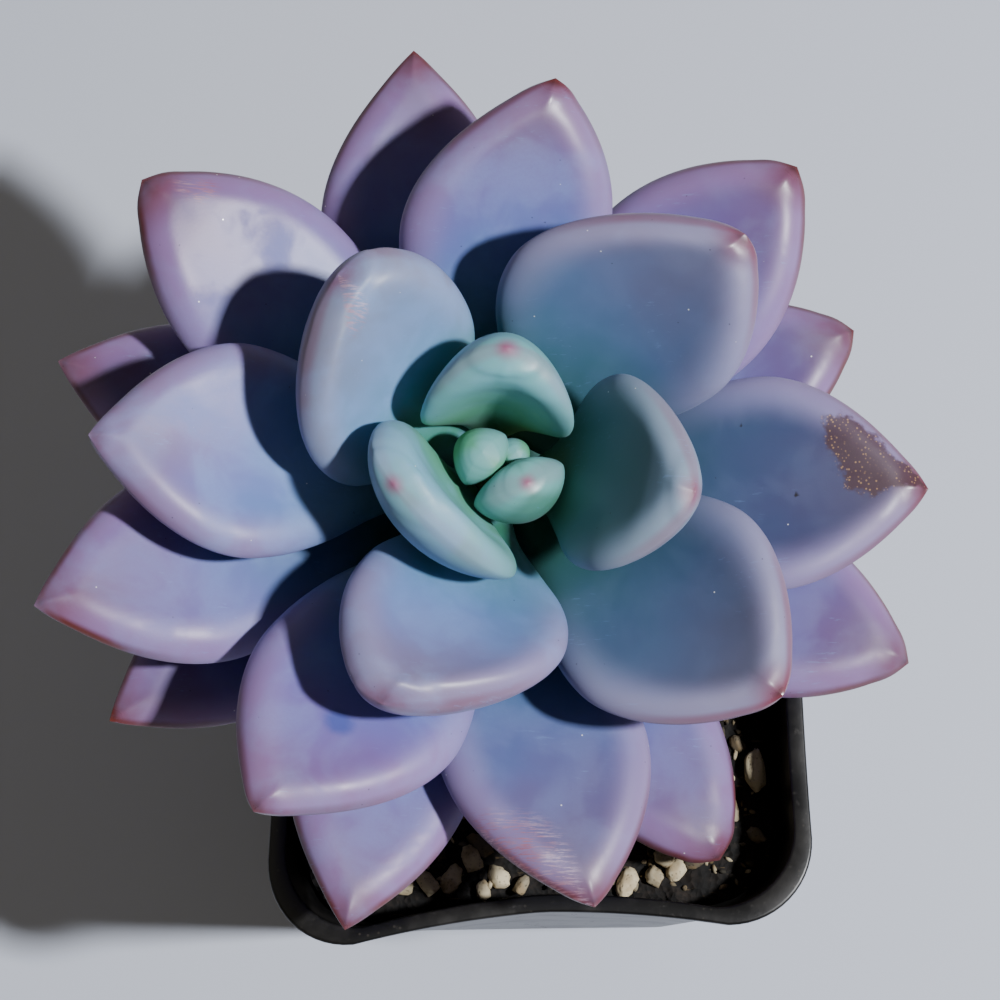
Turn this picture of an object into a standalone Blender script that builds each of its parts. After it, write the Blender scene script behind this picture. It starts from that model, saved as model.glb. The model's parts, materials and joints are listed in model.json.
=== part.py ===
"""A potted graptoveria: a rosette of thick, pointed leaves on a short stem, in a square pot of gritty soil.

Run it with blender --background --python part.py, or from Blender's text editor. Metres, +Z up. The origin is
the middle of the pot's underside, and the pot's sides face +X, -X, +Y and -Y.
"""

import math
import random
from collections import namedtuple

import bmesh
import bpy
from mathutils import Matrix, Vector
from mathutils.geometry import interpolate_bezier

MM = 0.001
GAP = 0.3 * MM  # what parts two pieces that touch on the real plant

# The pot
POT_TOP = 60 * MM  # across the lip
POT_FOOT = 45 * MM
POT_HEIGHT = 57 * MM
POT_WALL = 1.0 * MM
POT_CORNER = 9.5 * MM
POT_BEVEL = 0.8 * MM  # round the underside
POT_BOWS = (0.4 * MM, 0.8 * MM, 0.4 * MM, 1.7 * MM)  # right, back, left and front
CORNER_PULL = Vector((-0.6, -2.4, 0)) * MM  # the front left corner has sagged outwards
LIP_DEPTH = 3.4 * MM
LIP_REACH = 1.0 * MM
LIP_SHELF = 0.4 * MM
LIP_BEVEL = 0.3 * MM
DRAIN_RADIUS = 3.5 * MM
DRAIN_OFFSET = 12.5 * MM
SIDE_STEPS = 4
CORNER_STEPS = 4

# The soil and its pumice; a grain's sizes are in millimetres
SOIL_TOP = 49 * MM
SOIL_GAP = 0.5 * MM
SOIL_ROUGHNESS = 0.7 * MM
SOIL_SHARES = (0.86, 0.68, 0.5, 0.33, 0.16)  # the rings of its top, from the rim inwards
GRAIN_COUNT = 30
GRAIN_SUNK = 0.4 * MM
GRAIN_EDGE = 23.5 * MM
GRAIN_CLEARANCE = 7.5 * MM  # from the stem
GRAIN_SPACING = 3.2
GRAIN_HALF_WIDTHS = (0.9, 1.5)
GRAIN_HALF_LENGTHS = (1.4, 2.3)
GRAIN_LUMPS = (0.85, 1.15)
SEED = 7
Grain = namedtuple("Grain", "x y half_width half_length turn")
SEEN_GRAINS = (
    Grain(24.6, -11.3, 1.2, 2.5, 10),
    Grain(22.0, -16.5, 1.1, 2.0, -10),
    Grain(23.8, -19.0, 0.9, 1.3, 70),
    Grain(23.2, -5.5, 1.2, 1.5, 30),
    Grain(15.0, -22.6, 1.3, 1.9, -40),
    Grain(12.0, -23.4, 1.2, 1.6, 15),
    Grain(8.6, -23.6, 1.4, 2.2, -20),
    Grain(-5.0, -23.2, 1.1, 1.6, 40),
    Grain(-8.0, -21.2, 1.2, 1.7, 20),
    Grain(-10.2, -23.0, 1.2, 2.0, -15),
    Grain(-13.0, -23.8, 1.1, 1.8, 35),
    Grain(-15.8, -24.2, 1.0, 1.5, 80),
)

# The stem, and the rosette's own frame: its origin is the growing tip, and its +Z leans from the pot's
STEM_FOOT = Vector((-6.5, 13, 33)) * MM
STEM_RADIUS = 4.2 * MM
STEM_TIP_RADIUS = 1.6 * MM
STEM_STRAIGHT = 22.5 * MM  # what the leaves grow on
STEM_TAPER = 12 * MM  # how far below the growing tip it has its full radius
STEM_LEVELS = (16 * MM, 11 * MM, 7 * MM, 4 * MM)
STEM_END = 2.1 * MM  # how far below the growing tip the stem stops and the bud begins
STEM_BEND_STEPS = 8
STEM_SIDES = 12
APEX = Vector((-3.4, 16.6, 80)) * MM
LEAN = 12
LEAN_TOWARDS = -34

# The leaves, from the youngest outwards. Each grows a golden angle further round and a step lower down than
# the one before. Its row says in degrees and millimetres how it departs from that and how it is shaped. Youth
# is 1 for the broad outline of a young leaf and 0 for the drawn-out one of an old leaf.
GOLDEN_ANGLE = 137.5
FIRST_TURN = 294
LEAF_STEP = 0.84 * MM
LEAF_START = 1.8 * MM
SHOULDER = 3.6 * MM  # how far in from its margin a leaf reaches its full height, or half a young one's width
BELLY = 0.6  # below 1, the underside is fuller than a plain arc
SWAY_POWER = 4

Leaf = namedtuple("Leaf", "turn rise length width thickness curl cup roll sway youth")
LEAVES = (
    Leaf(-5, 89, 10, 10.4, 5.4, 14, 0.8, 6, 0, 1),
    Leaf(31, 77, 20, 16, 6, 10, 4.4, -18, 0, 1),
    Leaf(12, 60, 20, 20.6, 6, 24, 2, -3, -5, 1),
    Leaf(0, 60, 26, 21, 6.4, 6, 3.2, 6, -2, 0.5),
    Leaf(27, 44, 29, 24, 7, 14, 2, -11, -5, 0.8),
    Leaf(-8, 32, 31, 24, 7, 20, 3, -2, -6, 0.6),
    Leaf(16, 47, 36, 26, 7, 12, 4, 4, -6, 0.3),
    Leaf(3, 18, 42, 23, 7, 16, 2, 0, 0, 0),
    Leaf(4, 29, 38, 26, 7, 16, 4, 8, 0, 0.25),
    Leaf(0, 30, 40, 23, 7, 14, 1, 0, -5, 0.2),
    Leaf(11, 19, 44, 24, 6.8, 12, 0.8, 0, -4, 0.1),
    Leaf(-9, 17, 44, 24, 6.8, 12, 3, 0, 0, 0.1),
    Leaf(-1, 15, 46, 22, 6.6, 10, 0.6, 0, 0, 0.3),
    Leaf(-2, 14, 45, 23, 6.6, 10, 0.8, 0, 2, 0.1),
    Leaf(-13, 20, 45, 23, 6.6, 8, 0.6, 0, 0, 0.3),
    Leaf(2, 15, 49, 22, 6.4, 8, 0.4, 0, 0, 0),
    Leaf(3, 9, 47, 21, 6.4, 6, 0.4, 0, 0, 0.3),
    Leaf(-5, 12, 45, 22, 6.2, 6, 0.4, 0, -5, 0),
    Leaf(0, 10, 48, 21, 6, 4, 0.4, 0, 3, 0),
    Leaf(-3, 12, 42, 19, 6, 4, 0.4, 0, 0, 0.3),
    Leaf(2, 10, 45, 19, 5.8, 2, 0.3, 0, 0, 0),
    Leaf(1, 7, 45, 19, 5.6, 2, 0.3, 0, 0, 0.6),
    Leaf(-2, 6, 38, 17, 5.4, 0, 0.3, 0, 0, 0),
    Leaf(-3, 9, 45, 17, 5.4, 0, 0.3, 0, 0, 0),
)

# The bud in the heart: a dome, given by depth and radius, and three young leaves standing on it, the first
# the largest. A root's place is its depth and its distance from the axis.
BUD_DOME = ((STEM_END - GAP, 2.1 * MM), (1.1 * MM, 1.9 * MM), (0.4 * MM, 1.1 * MM))
BUD_ROOTS = ((1.5 * MM, 1.5 * MM), (0.9 * MM, 0), (0.6 * MM, 0))
BUD_LEAVES = (
    Leaf(24, 84, 7.5, 6.8, 4.8, 10, 0.6, -40, 0, 1),
    Leaf(0, 90, 5, 3.8, 2.8, 10, 0.2, 10, 0, 1),
    Leaf(-8, 86, 2.6, 2.2, 1.5, 20, 0.2, 0, 0, 1),
)

# The blank that every leaf is scaled from, station by station from root to tip: shares of the half width, of
# a grown leaf and of a young one, shares of the thickness above and below the leaf's midline, and how many
# times higher a young leaf's upper face stands there
Station = namedtuple("Station", "along grown young upper lower plump")
STATIONS = (
    Station(0.00, 0.24, 0.28, 0.17, 0.20, 1.0),
    Station(0.10, 0.31, 0.43, 0.20, 0.26, 1.0),
    Station(0.22, 0.50, 0.70, 0.26, 0.36, 1.0),
    Station(0.36, 0.78, 0.93, 0.33, 0.50, 1.0),
    Station(0.50, 0.96, 1.00, 0.38, 0.59, 1.0),
    Station(0.62, 1.00, 0.99, 0.40, 0.61, 1.1),
    Station(0.74, 0.87, 0.92, 0.39, 0.57, 1.25),
    Station(0.85, 0.60, 0.76, 0.35, 0.48, 1.5),
    Station(0.93, 0.31, 0.54, 0.26, 0.34, 1.8),
    Station(0.98, 0.10, 0.28, 0.13, 0.16, 2.2),
)
TOP_SHARES = (-1, -0.88, -0.66, -0.36, 0, 0.36, 0.66, 0.88)
BOTTOM_SHARES = (1, 0.8, 0.45, 0, -0.45, -0.8)


def clear_scene():
    for thing in list(bpy.data.objects):
        bpy.data.objects.remove(thing)


def material(name, colour, roughness):
    """A plain finish for one kind of piece."""
    made = bpy.data.materials.new(name)
    made.use_nodes = True
    shader = made.node_tree.nodes["Principled BSDF"]
    shader.inputs["Base Color"].default_value = (*colour, 1)
    shader.inputs["Roughness"].default_value = roughness
    shader.inputs["Metallic"].default_value = 0
    return made


def turns(sides):
    """The angles of a round section's points."""
    return [2 * math.pi * side / sides for side in range(sides)]


def skin(mesh, below, above):
    """Faces between two rings of the same number of points."""
    count = len(below)
    for i in range(count):
        j = (i + 1) % count
        mesh.faces.new((below[i], below[j], above[j], above[i]))


def loft(rings, tip=None):
    """A closed mesh through the rings in order, with flat ends, or with its last ring drawn to a point."""
    mesh = bmesh.new()
    loops = [[mesh.verts.new(point) for point in ring] for ring in rings]
    mesh.faces.new(list(reversed(loops[0])))
    for below, above in zip(loops, loops[1:]):
        skin(mesh, below, above)
    last = loops[-1]
    if tip is None:
        mesh.faces.new(last)
    else:
        point = mesh.verts.new(tip)
        for i, corner in enumerate(last):
            mesh.faces.new((corner, last[(i + 1) % len(last)], point))
    return mesh


def add_object(name, mesh, finish, smooth_under=40):
    """The bmesh as a named object with its finish, shaded smooth over its gentle edges."""
    data = bpy.data.meshes.new(name)
    bmesh.ops.recalc_face_normals(mesh, faces=mesh.faces)
    mesh.to_mesh(data)
    mesh.free()
    data.materials.append(finish)
    data.shade_smooth()
    data.set_sharp_from_angle(angle=math.radians(smooth_under))
    made = bpy.data.objects.new(name, data)
    bpy.context.scene.collection.objects.link(made)
    return made


def combine(target, others, operation):
    """Joins or cuts the target by the other objects, and removes them."""
    helpers = bpy.data.collections.new("helpers")
    bpy.context.scene.collection.children.link(helpers)
    for other in others:
        bpy.context.scene.collection.objects.unlink(other)
        helpers.objects.link(other)
    modifier = target.modifiers.new(operation.title(), "BOOLEAN")
    modifier.operation = operation
    modifier.operand_type = "COLLECTION"
    modifier.collection = helpers
    modifier.solver = "EXACT"
    with bpy.context.temp_override(object=target, active_object=target):
        bpy.ops.object.modifier_apply(modifier=modifier.name)
    for other in others:
        bpy.data.objects.remove(other)
    bpy.data.collections.remove(helpers)


def pot_half(z):
    """Half the pot's outer width at that height, without its lip."""
    return (POT_FOOT + (POT_TOP - POT_FOOT) * z / POT_HEIGHT) / 2


def square_ring(half, z):
    """A rounded square whose sides are drawn in at their middles, as thin nursery pots are."""
    corner = POT_CORNER * half / (POT_TOP / 2)
    straight = half - corner
    height = z / POT_HEIGHT
    ring = []
    for quarter, bow in enumerate(POT_BOWS):
        turn = Matrix.Rotation(quarter * math.pi / 2, 3, "Z")
        for step in range(SIDE_STEPS):
            y = straight * (2 * step / SIDE_STEPS - 1)
            x = half - bow * (1 - (y / straight) ** 2) * height
            ring.append(turn @ Vector((x, y, z)))
        for step in range(CORNER_STEPS):
            angle = math.pi / 2 * step / CORNER_STEPS
            x = straight + corner * math.cos(angle)
            y = straight + corner * math.sin(angle)
            ring.append(turn @ Vector((x, y, z)))
    for point in ring:
        nearness = max(-point.x / half, 0) * max(-point.y / half, 0)
        point += CORNER_PULL * nearness * height
    return ring


def make_pot(plastic):
    """Tapered walls, a floor and a turned-out lip in one body, with four drain holes in the floor."""
    lip_foot = POT_HEIGHT - LIP_DEPTH
    crown = POT_HEIGHT - LIP_BEVEL
    outer_top = pot_half(POT_HEIGHT) - LIP_REACH
    inner_top = outer_top - POT_WALL
    rings = [
        square_ring(pot_half(0) - LIP_REACH - POT_BEVEL, 0),
        square_ring(pot_half(POT_BEVEL) - LIP_REACH, POT_BEVEL),
        square_ring(pot_half(POT_HEIGHT / 2) - LIP_REACH, POT_HEIGHT / 2),
        square_ring(pot_half(lip_foot) - LIP_REACH, lip_foot),
        square_ring(pot_half(lip_foot), lip_foot + LIP_SHELF),
        square_ring(pot_half(POT_HEIGHT), crown),
        square_ring(pot_half(POT_HEIGHT) - LIP_BEVEL, POT_HEIGHT),
        square_ring(inner_top + LIP_BEVEL, POT_HEIGHT),
        square_ring(inner_top, crown),
        square_ring(pot_half(POT_HEIGHT * 2 / 3) - LIP_REACH - POT_WALL, POT_HEIGHT * 2 / 3),
        square_ring(pot_half(POT_HEIGHT / 3) - LIP_REACH - POT_WALL, POT_HEIGHT / 3),
        square_ring(pot_half(POT_WALL) - LIP_REACH - POT_WALL, POT_WALL),
    ]
    pot = add_object("pot", loft(rings), plastic)
    holes = []
    for x, y in ((1, 1), (-1, 1), (-1, -1), (1, -1)):
        cutter = bmesh.new()
        bmesh.ops.create_cone(
            cutter, cap_ends=True, segments=16, radius1=DRAIN_RADIUS, radius2=DRAIN_RADIUS, depth=4 * POT_WALL
        )
        hole = add_object("drain_hole", cutter, plastic)
        hole.location = (x * DRAIN_OFFSET, y * DRAIN_OFFSET, POT_WALL / 2)
        holes.append(hole)
    combine(pot, holes, "DIFFERENCE")
    return pot


def stem_line(steps):
    """The stem's centre line: upright out of the soil, bent into the rosette's axis, then straight."""
    axis = rosette_frame().to_3x3() @ Vector((0, 0, 1))
    neck = APEX - axis * STEM_STRAIGHT
    pull = (neck - STEM_FOOT).length / 2
    bend = interpolate_bezier(STEM_FOOT, STEM_FOOT + Vector((0, 0, pull)), neck - axis * pull, neck, steps)
    return bend + [APEX - axis * depth for depth in (*STEM_LEVELS, STEM_END)]


def rosette_frame():
    """Carries the rosette's own frame to the pot's."""
    towards = math.radians(LEAN_TOWARDS)
    hinge = Vector((-math.sin(towards), math.cos(towards), 0))
    return Matrix.Translation(APEX) @ Matrix.Rotation(math.radians(LEAN), 4, hinge)


def stem_radius(depth):
    """The stem's radius at that depth below the growing tip."""
    share = min(depth / STEM_TAPER, 1)
    return STEM_TIP_RADIUS + (STEM_RADIUS - STEM_TIP_RADIUS) * math.sin(share * math.pi / 2)


def stem_rings(spread):
    """Rings along the stem, wider than it by the spread."""
    line = stem_line(STEM_BEND_STEPS)
    rings = []
    for centre, ahead in zip(line, line[1:] + [APEX]):
        turn = Vector((0, 0, 1)).rotation_difference(ahead - centre)
        radius = stem_radius((APEX - centre).length) + spread
        ring = [Vector((math.cos(angle), math.sin(angle), 0)) * radius for angle in turns(STEM_SIDES)]
        rings.append([centre + turn @ point for point in ring])
    return rings


def make_stem(bark):
    """The bare stem from inside the soil to just below the growing tip."""
    return add_object("stem", loft(stem_rings(0)), bark)


def make_soil(earth, pumice):
    """A block of soil that fills the pot to just below its rim, with pumice and a hole for the stem."""
    dice = random.Random(SEED)
    inset = LIP_REACH + POT_WALL + SOIL_GAP
    levels = (POT_WALL + GAP, POT_HEIGHT / 3, POT_HEIGHT * 2 / 3, SOIL_TOP - SOIL_ROUGHNESS - 0.1 * MM)
    rings = [square_ring(pot_half(z) - inset, z) for z in levels]
    middle = Vector((0, 0, SOIL_TOP))
    for share in SOIL_SHARES:
        ring = []
        for point in square_ring(pot_half(SOIL_TOP) - inset, SOIL_TOP):
            lump = Vector((0, 0, dice.uniform(-SOIL_ROUGHNESS, SOIL_ROUGHNESS)))
            ring.append(middle.lerp(point, share) + lump)
        rings.append(ring)
    soil = add_object("soil", loft(rings, tip=middle), earth)
    combine(soil, make_grains(dice, pumice), "UNION")
    bore = stem_rings(GAP)
    below = [point - Vector((0, 0, GAP)) for point in bore[0]]
    combine(soil, [add_object("stem_hole", loft([below] + bore[1:]), earth)], "DIFFERENCE")
    return soil


def make_grains(dice, pumice):
    """The pieces of pumice that show in the photo, and as many again that lie under the leaves."""
    grains = list(SEEN_GRAINS)
    edge, clearance = GRAIN_EDGE / MM, GRAIN_CLEARANCE / MM
    while len(grains) < GRAIN_COUNT:
        x, y = dice.uniform(-edge, edge), dice.uniform(-edge, edge)
        nearest = min(math.hypot(x - grain.x, y - grain.y) for grain in grains)
        from_stem = math.hypot(x - STEM_FOOT.x / MM, y - STEM_FOOT.y / MM)
        if nearest > GRAIN_SPACING and from_stem > clearance:
            half_width, half_length = dice.uniform(*GRAIN_HALF_WIDTHS), dice.uniform(*GRAIN_HALF_LENGTHS)
            grains.append(Grain(x, y, half_width, half_length, dice.uniform(0, 180)))
    made = []
    for grain in grains:
        lump = bmesh.new()
        bmesh.ops.create_icosphere(lump, subdivisions=1, radius=1)
        for corner in lump.verts:
            corner.co *= dice.uniform(*GRAIN_LUMPS)
        size = Matrix.Diagonal((grain.half_width, grain.half_length, grain.half_width, 1))
        lump.transform(Matrix.Rotation(math.radians(grain.turn), 4, "Z") @ size)
        piece = add_object("pumice", lump, pumice)
        piece.scale = (MM, MM, MM)
        piece.location = (grain.x * MM, grain.y * MM, SOIL_TOP - GRAIN_SUNK)
        made.append(piece)
    return made


def section(station, leaf):
    """One ring round a straight leaf: over its upper face, then back underneath."""
    x = leaf.length * MM * station.along
    half = leaf.width * MM / 2 * (station.grown + (station.young - station.grown) * leaf.youth)
    upper = leaf.thickness * MM * station.upper * (1 + (station.plump - 1) * leaf.youth)
    lower = leaf.thickness * MM * station.lower
    shoulder = min(SHOULDER, half + (1 - leaf.youth) * SHOULDER)
    ring = []
    for share in TOP_SHARES:
        inward = min((1 - abs(share)) * half / shoulder, 1)
        height = upper * math.sin(inward * math.pi / 2)
        ring.append(Vector((x, share * half, height)))
    for share in BOTTOM_SHARES:
        ring.append(Vector((x, share * half, -lower * (1 - share * share) ** BELLY)))
    return ring


def shaped(point, leaf):
    """A point of the straight leaf, its margins raised, its tip swayed aside, its midline curled up."""
    x, y, z = point
    edge = y / (leaf.width * MM / 2)
    z += leaf.cup * MM * edge * edge
    y += leaf.sway * MM * (x / (leaf.length * MM)) ** SWAY_POWER
    curl = math.radians(leaf.curl)
    if curl == 0:
        return Vector((x, y, z))
    radius = leaf.length * MM / curl
    turn = x / radius
    return Vector(((radius - z) * math.sin(turn), y, radius - (radius - z) * math.cos(turn)))


def leaf_place(number, leaf, depth, radius):
    """Where a leaf's root stands on a stem of that radius, and which way it grows."""
    turn = FIRST_TURN + GOLDEN_ANGLE * (number - 1) + leaf.turn
    start = math.radians(leaf.rise - leaf.curl / 2)
    root = radius + leaf.thickness * MM * STATIONS[0].lower * math.sin(start)
    return (
        rosette_frame()
        @ Matrix.Rotation(math.radians(turn), 4, "Z")
        @ Matrix.Translation((root, 0, -depth))
        @ Matrix.Rotation(-start, 4, "Y")
        @ Matrix.Rotation(math.radians(leaf.roll), 4, "X")
    )


def leaf_mesh(leaf, place):
    """One leaf, lofted along its length to a pointed tip."""
    rings = [[place @ shaped(p, leaf) for p in section(station, leaf)] for station in STATIONS]
    tip = place @ shaped(Vector((leaf.length * MM, 0, 0)), leaf)
    return loft(rings, tip)


def make_leaves(skin_finish):
    for number, leaf in enumerate(LEAVES, start=1):
        depth = LEAF_START + LEAF_STEP * number
        place = leaf_place(number, leaf, depth, stem_radius(depth) + GAP)
        add_object(f"leaf_{number:02d}", leaf_mesh(leaf, place), skin_finish)


def make_bud(skin_finish):
    """The growing tip, with the youngest leaves standing on it."""
    rings = []
    for depth, radius in BUD_DOME:
        ring = [Vector((math.cos(angle), math.sin(angle), 0)) * radius for angle in turns(STEM_SIDES)]
        rings.append([point - Vector((0, 0, depth)) for point in ring])
    dome = loft(rings, tip=Vector((0, 0, 0)))
    dome.transform(rosette_frame())
    bud = add_object("heart_bud", dome, skin_finish)
    folded = []
    for age, leaf in enumerate(BUD_LEAVES):
        place = leaf_place(-age, leaf, *BUD_ROOTS[age])
        folded.append(add_object("bud_leaf", leaf_mesh(leaf, place), skin_finish))
    combine(bud, folded, "UNION")
    return bud


def main():
    clear_scene()
    plastic = material("black plastic", (0.02, 0.02, 0.022), 0.45)
    earth = material("dark soil", (0.06, 0.05, 0.04), 0.95)
    pumice = material("pumice", (0.62, 0.54, 0.40), 0.9)
    leaf_skin = material("leaf skin", (0.45, 0.42, 0.62), 0.5)
    bud_skin = material("bud skin", (0.30, 0.48, 0.33), 0.5)
    bark = material("stem bark", (0.30, 0.25, 0.17), 0.8)
    make_pot(plastic)
    make_soil(earth, pumice)
    make_stem(bark)
    make_leaves(leaf_skin)
    make_bud(bud_skin)


main()
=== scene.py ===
# %% [markdown]
# # A potted graptoveria
#
# A graptoveria is a succulent: a rosette of thick leaves under a thin coat of pale wax. This one stands in a small
# square nursery pot. The lesson starts from a plain solid model of it, made to size, and dresses each solid with a
# finer mesh and a finish of its own.

import json
import math
import random
from collections import namedtuple

import bmesh
import bpy
import numpy as np
from mathutils import Matrix, Vector, noise
from mathutils.bvhtree import BVHTree
from mathutils.geometry import interpolate_bezier
from mathutils.kdtree import KDTree

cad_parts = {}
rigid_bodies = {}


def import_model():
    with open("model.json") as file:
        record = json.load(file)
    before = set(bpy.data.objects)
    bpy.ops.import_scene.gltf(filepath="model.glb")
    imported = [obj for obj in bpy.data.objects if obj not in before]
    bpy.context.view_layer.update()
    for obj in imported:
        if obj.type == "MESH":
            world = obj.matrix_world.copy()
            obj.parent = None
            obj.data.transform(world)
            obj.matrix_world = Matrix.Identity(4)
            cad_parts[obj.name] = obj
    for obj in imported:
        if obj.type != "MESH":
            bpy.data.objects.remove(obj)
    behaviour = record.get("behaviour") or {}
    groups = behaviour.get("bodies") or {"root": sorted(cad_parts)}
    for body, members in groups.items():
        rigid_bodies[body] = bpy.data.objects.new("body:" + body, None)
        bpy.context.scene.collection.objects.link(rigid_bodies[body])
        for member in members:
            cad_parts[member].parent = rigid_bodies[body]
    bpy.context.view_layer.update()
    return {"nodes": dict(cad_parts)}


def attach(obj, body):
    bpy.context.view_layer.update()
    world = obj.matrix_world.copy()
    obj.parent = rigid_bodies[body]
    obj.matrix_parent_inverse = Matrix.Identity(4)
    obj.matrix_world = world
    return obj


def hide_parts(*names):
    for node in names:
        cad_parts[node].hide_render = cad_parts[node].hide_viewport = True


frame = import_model()
MM = 0.001
print("solids:", len(frame["nodes"]))

# %% [markdown]
# ## The camera
#
# The photograph looks almost straight down on the plant, from a forearm's length. The camera is placed so that
# the pot's rim and the leaf tips fall where the photograph has them: a distance, an angle above the horizon, and the
# pixel where the middle of the rim falls. It is aimed at the rim and then turned by the angle of that pixel.

# %% The camera
IMAGE_SIDE = 1000
RIM_CENTRE = Vector((0, 0, 57)) * MM
RIM_PIXEL = (539, 662)
VIEW_DISTANCE = 320 * MM
VIEW_HEIGHT = 76
VIEW_TURN = -0.8
FOCAL_PIXELS = 2825
SENSOR_WIDTH = 36


def place_camera():
    """A camera on the photograph's line of sight, with its lens in millimetres."""
    bpy.ops.object.camera_add()
    camera = bpy.context.object
    camera.name = "camera"
    camera.data.sensor_width = SENSOR_WIDTH
    camera.data.lens = FOCAL_PIXELS * SENSOR_WIDTH / IMAGE_SIDE
    camera.data.clip_start = 10 * MM
    aside = math.atan((RIM_PIXEL[0] - IMAGE_SIDE / 2) / FOCAL_PIXELS)
    below = math.atan((RIM_PIXEL[1] - IMAGE_SIDE / 2) / FOCAL_PIXELS)
    aim = Matrix.Rotation(math.radians(VIEW_TURN), 4, "Z") @ Matrix.Rotation(math.radians(90 - VIEW_HEIGHT), 4, "X")
    back_off = Matrix.Translation((0, 0, VIEW_DISTANCE))
    look_past = Matrix.Rotation(aside, 4, "Y") @ Matrix.Rotation(below, 4, "X")
    camera.matrix_world = Matrix.Translation(RIM_CENTRE) @ aim @ back_off @ look_past
    bpy.context.scene.camera = camera
    print(f"camera: {camera.data.lens:.1f} mm lens, {camera.location.z / MM:.0f} mm above the table")


place_camera()

# %% [markdown]
# ## The light
#
# The leaves are lit from the right and a little from the front, so that their rolled margins catch a highlight and
# their shadows fall to the upper left. One square soft light does that. A large weak one from the other side and a
# pale warm sky keep the shadows open.

# %% The light
KEY_PLACE = (-15, 52, 0.8)  # turn and height in degrees, distance in metres
KEY_SIZE = 0.055
KEY_POWER = 11.0
KEY_COLOUR = (0.96, 0.97, 1.0)
FILL_PLACE = (150, 60, 0.9)
FILL_SIZE = 0.7
FILL_POWER = 0.3
FILL_COLOUR = (1.0, 0.95, 0.86)
SKY_COLOUR = (1.0, 0.9, 0.74, 1)
SKY_STRENGTH = 0.11


def area_light(name, place, size, power, colour):
    """A square soft light that faces the plant."""
    turn, height, distance = place
    aim = Matrix.Rotation(math.radians(turn + 90), 4, "Z") @ Matrix.Rotation(math.radians(90 - height), 4, "X")
    bpy.ops.object.light_add(type="AREA")
    light = bpy.context.object
    light.name = name
    light.data.size = size
    light.data.energy = power
    light.data.color = colour
    light.matrix_world = Matrix.Translation(RIM_CENTRE) @ aim @ Matrix.Translation((0, 0, distance))


area_light("key_light", KEY_PLACE, KEY_SIZE, KEY_POWER, KEY_COLOUR)
area_light("fill_light", FILL_PLACE, FILL_SIZE, FILL_POWER, FILL_COLOUR)
sky = bpy.data.worlds.new("pale sky")
sky.use_nodes = True
sky.node_tree.nodes["Background"].inputs["Color"].default_value = SKY_COLOUR
sky.node_tree.nodes["Background"].inputs["Strength"].default_value = SKY_STRENGTH
bpy.context.scene.world = sky
print("lights:", sum(thing.type == "LIGHT" for thing in bpy.data.objects))

# %% [markdown]
# ## Small helpers for shaders
#
# A shader is a net of small nodes, and a wire carries what one node puts out to the next. Wires can be added,
# subtracted and multiplied like numbers, and each sign adds one node. So a finish can be read from top to bottom in
# one function.

# %% Helpers for shaders
WHITE = (1, 1, 1, 1)


class Wire:
    """What one node of a tree puts out."""

    def __init__(self, tree, socket):
        self.tree, self.socket = tree, socket

    def add(self, kind, output, inputs, **settings):
        """Another node in the same tree, and the wire from one of its outputs."""
        return Wire(self.tree, add_node(self.tree, kind, inputs, **settings).outputs[output])

    def maths(self, operation, first, second):
        return self.add("ShaderNodeMath", 0, {0: first, 1: second}, operation=operation)

    def __add__(self, other):
        return self.maths("ADD", self, other)

    def __sub__(self, other):
        return self.maths("SUBTRACT", self, other)

    def __rsub__(self, other):
        return self.maths("SUBTRACT", other, self)

    def __mul__(self, other):
        return self.maths("MULTIPLY", self, other)


def set_inputs(node, inputs):
    """Sets each input to a value, or links the wire that is given for it."""
    for key, value in inputs.items():
        if isinstance(value, Wire):
            value.tree.links.new(value.socket, node.inputs[key])
        else:
            node.inputs[key].default_value = value


def add_node(tree, kind, inputs, **settings):
    made = tree.nodes.new(kind)
    for name, value in settings.items():
        setattr(made, name, value)
    set_inputs(made, inputs)
    return made


def at_least(value, low):
    return value.maths("MAXIMUM", value, low)


def between(value, low, high, start=0.0, end=1.0):
    """Runs smoothly from start to end while the value goes from low to high."""
    inputs = {"Value": value, "From Min": low, "From Max": high, "To Min": start, "To Max": end}
    return value.add("ShaderNodeMapRange", "Result", inputs, interpolation_type="SMOOTHSTEP")


def mix(share, first, second, blend="MIX"):
    """Mixes two colours by a share from 0 to 1. The node has inputs 6 and 7 for colours."""
    wire = next(value for value in (share, first, second) if isinstance(value, Wire))
    return wire.add("ShaderNodeMix", 2, {0: share, 6: first, 7: second}, data_type="RGBA", blend_type=blend)


def colour_ramp(value, stops):
    """A colour for each value, smoothly between the stops."""
    made = add_node(value.tree, "ShaderNodeValToRGB", {"Fac": value})
    made.color_ramp.interpolation = "B_SPLINE"
    elements = made.color_ramp.elements
    while len(elements) < len(stops):
        elements.new(0.5)
    for element, (place, colour) in zip(elements, stops):
        element.position = place
        element.color = colour
    return Wire(value.tree, made.outputs["Color"])


def cloud(place, size, detail=2, roughness=0.5, distortion=0.0):
    """Noise whose patches are about that size, in millimetres."""
    pattern = {"Scale": 1 / (size * MM), "Detail": detail, "Roughness": roughness, "Distortion": distortion}
    return place.add("ShaderNodeTexNoise", "Fac", {"Vector": place, **pattern})


def cells(place, size, feature="F1", output="Distance"):
    """A Voronoi pattern whose cells are about that size, in millimetres."""
    return place.add("ShaderNodeTexVoronoi", output, {"Vector": place, "Scale": 1 / (size * MM)}, feature=feature)


def stretch(place, scale, rotation=(0, 0, 0)):
    """The place along other axes, for a pattern that runs one way."""
    return place.add("ShaderNodeMapping", "Vector", {"Vector": place, "Scale": scale, "Rotation": rotation})


def bump(height, strength, distance, **settings):
    """A relief of up to that many millimetres."""
    inputs = {"Strength": strength, "Distance": distance * MM, "Height": height}
    return height.add("ShaderNodeBump", "Normal", inputs, **settings)


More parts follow.
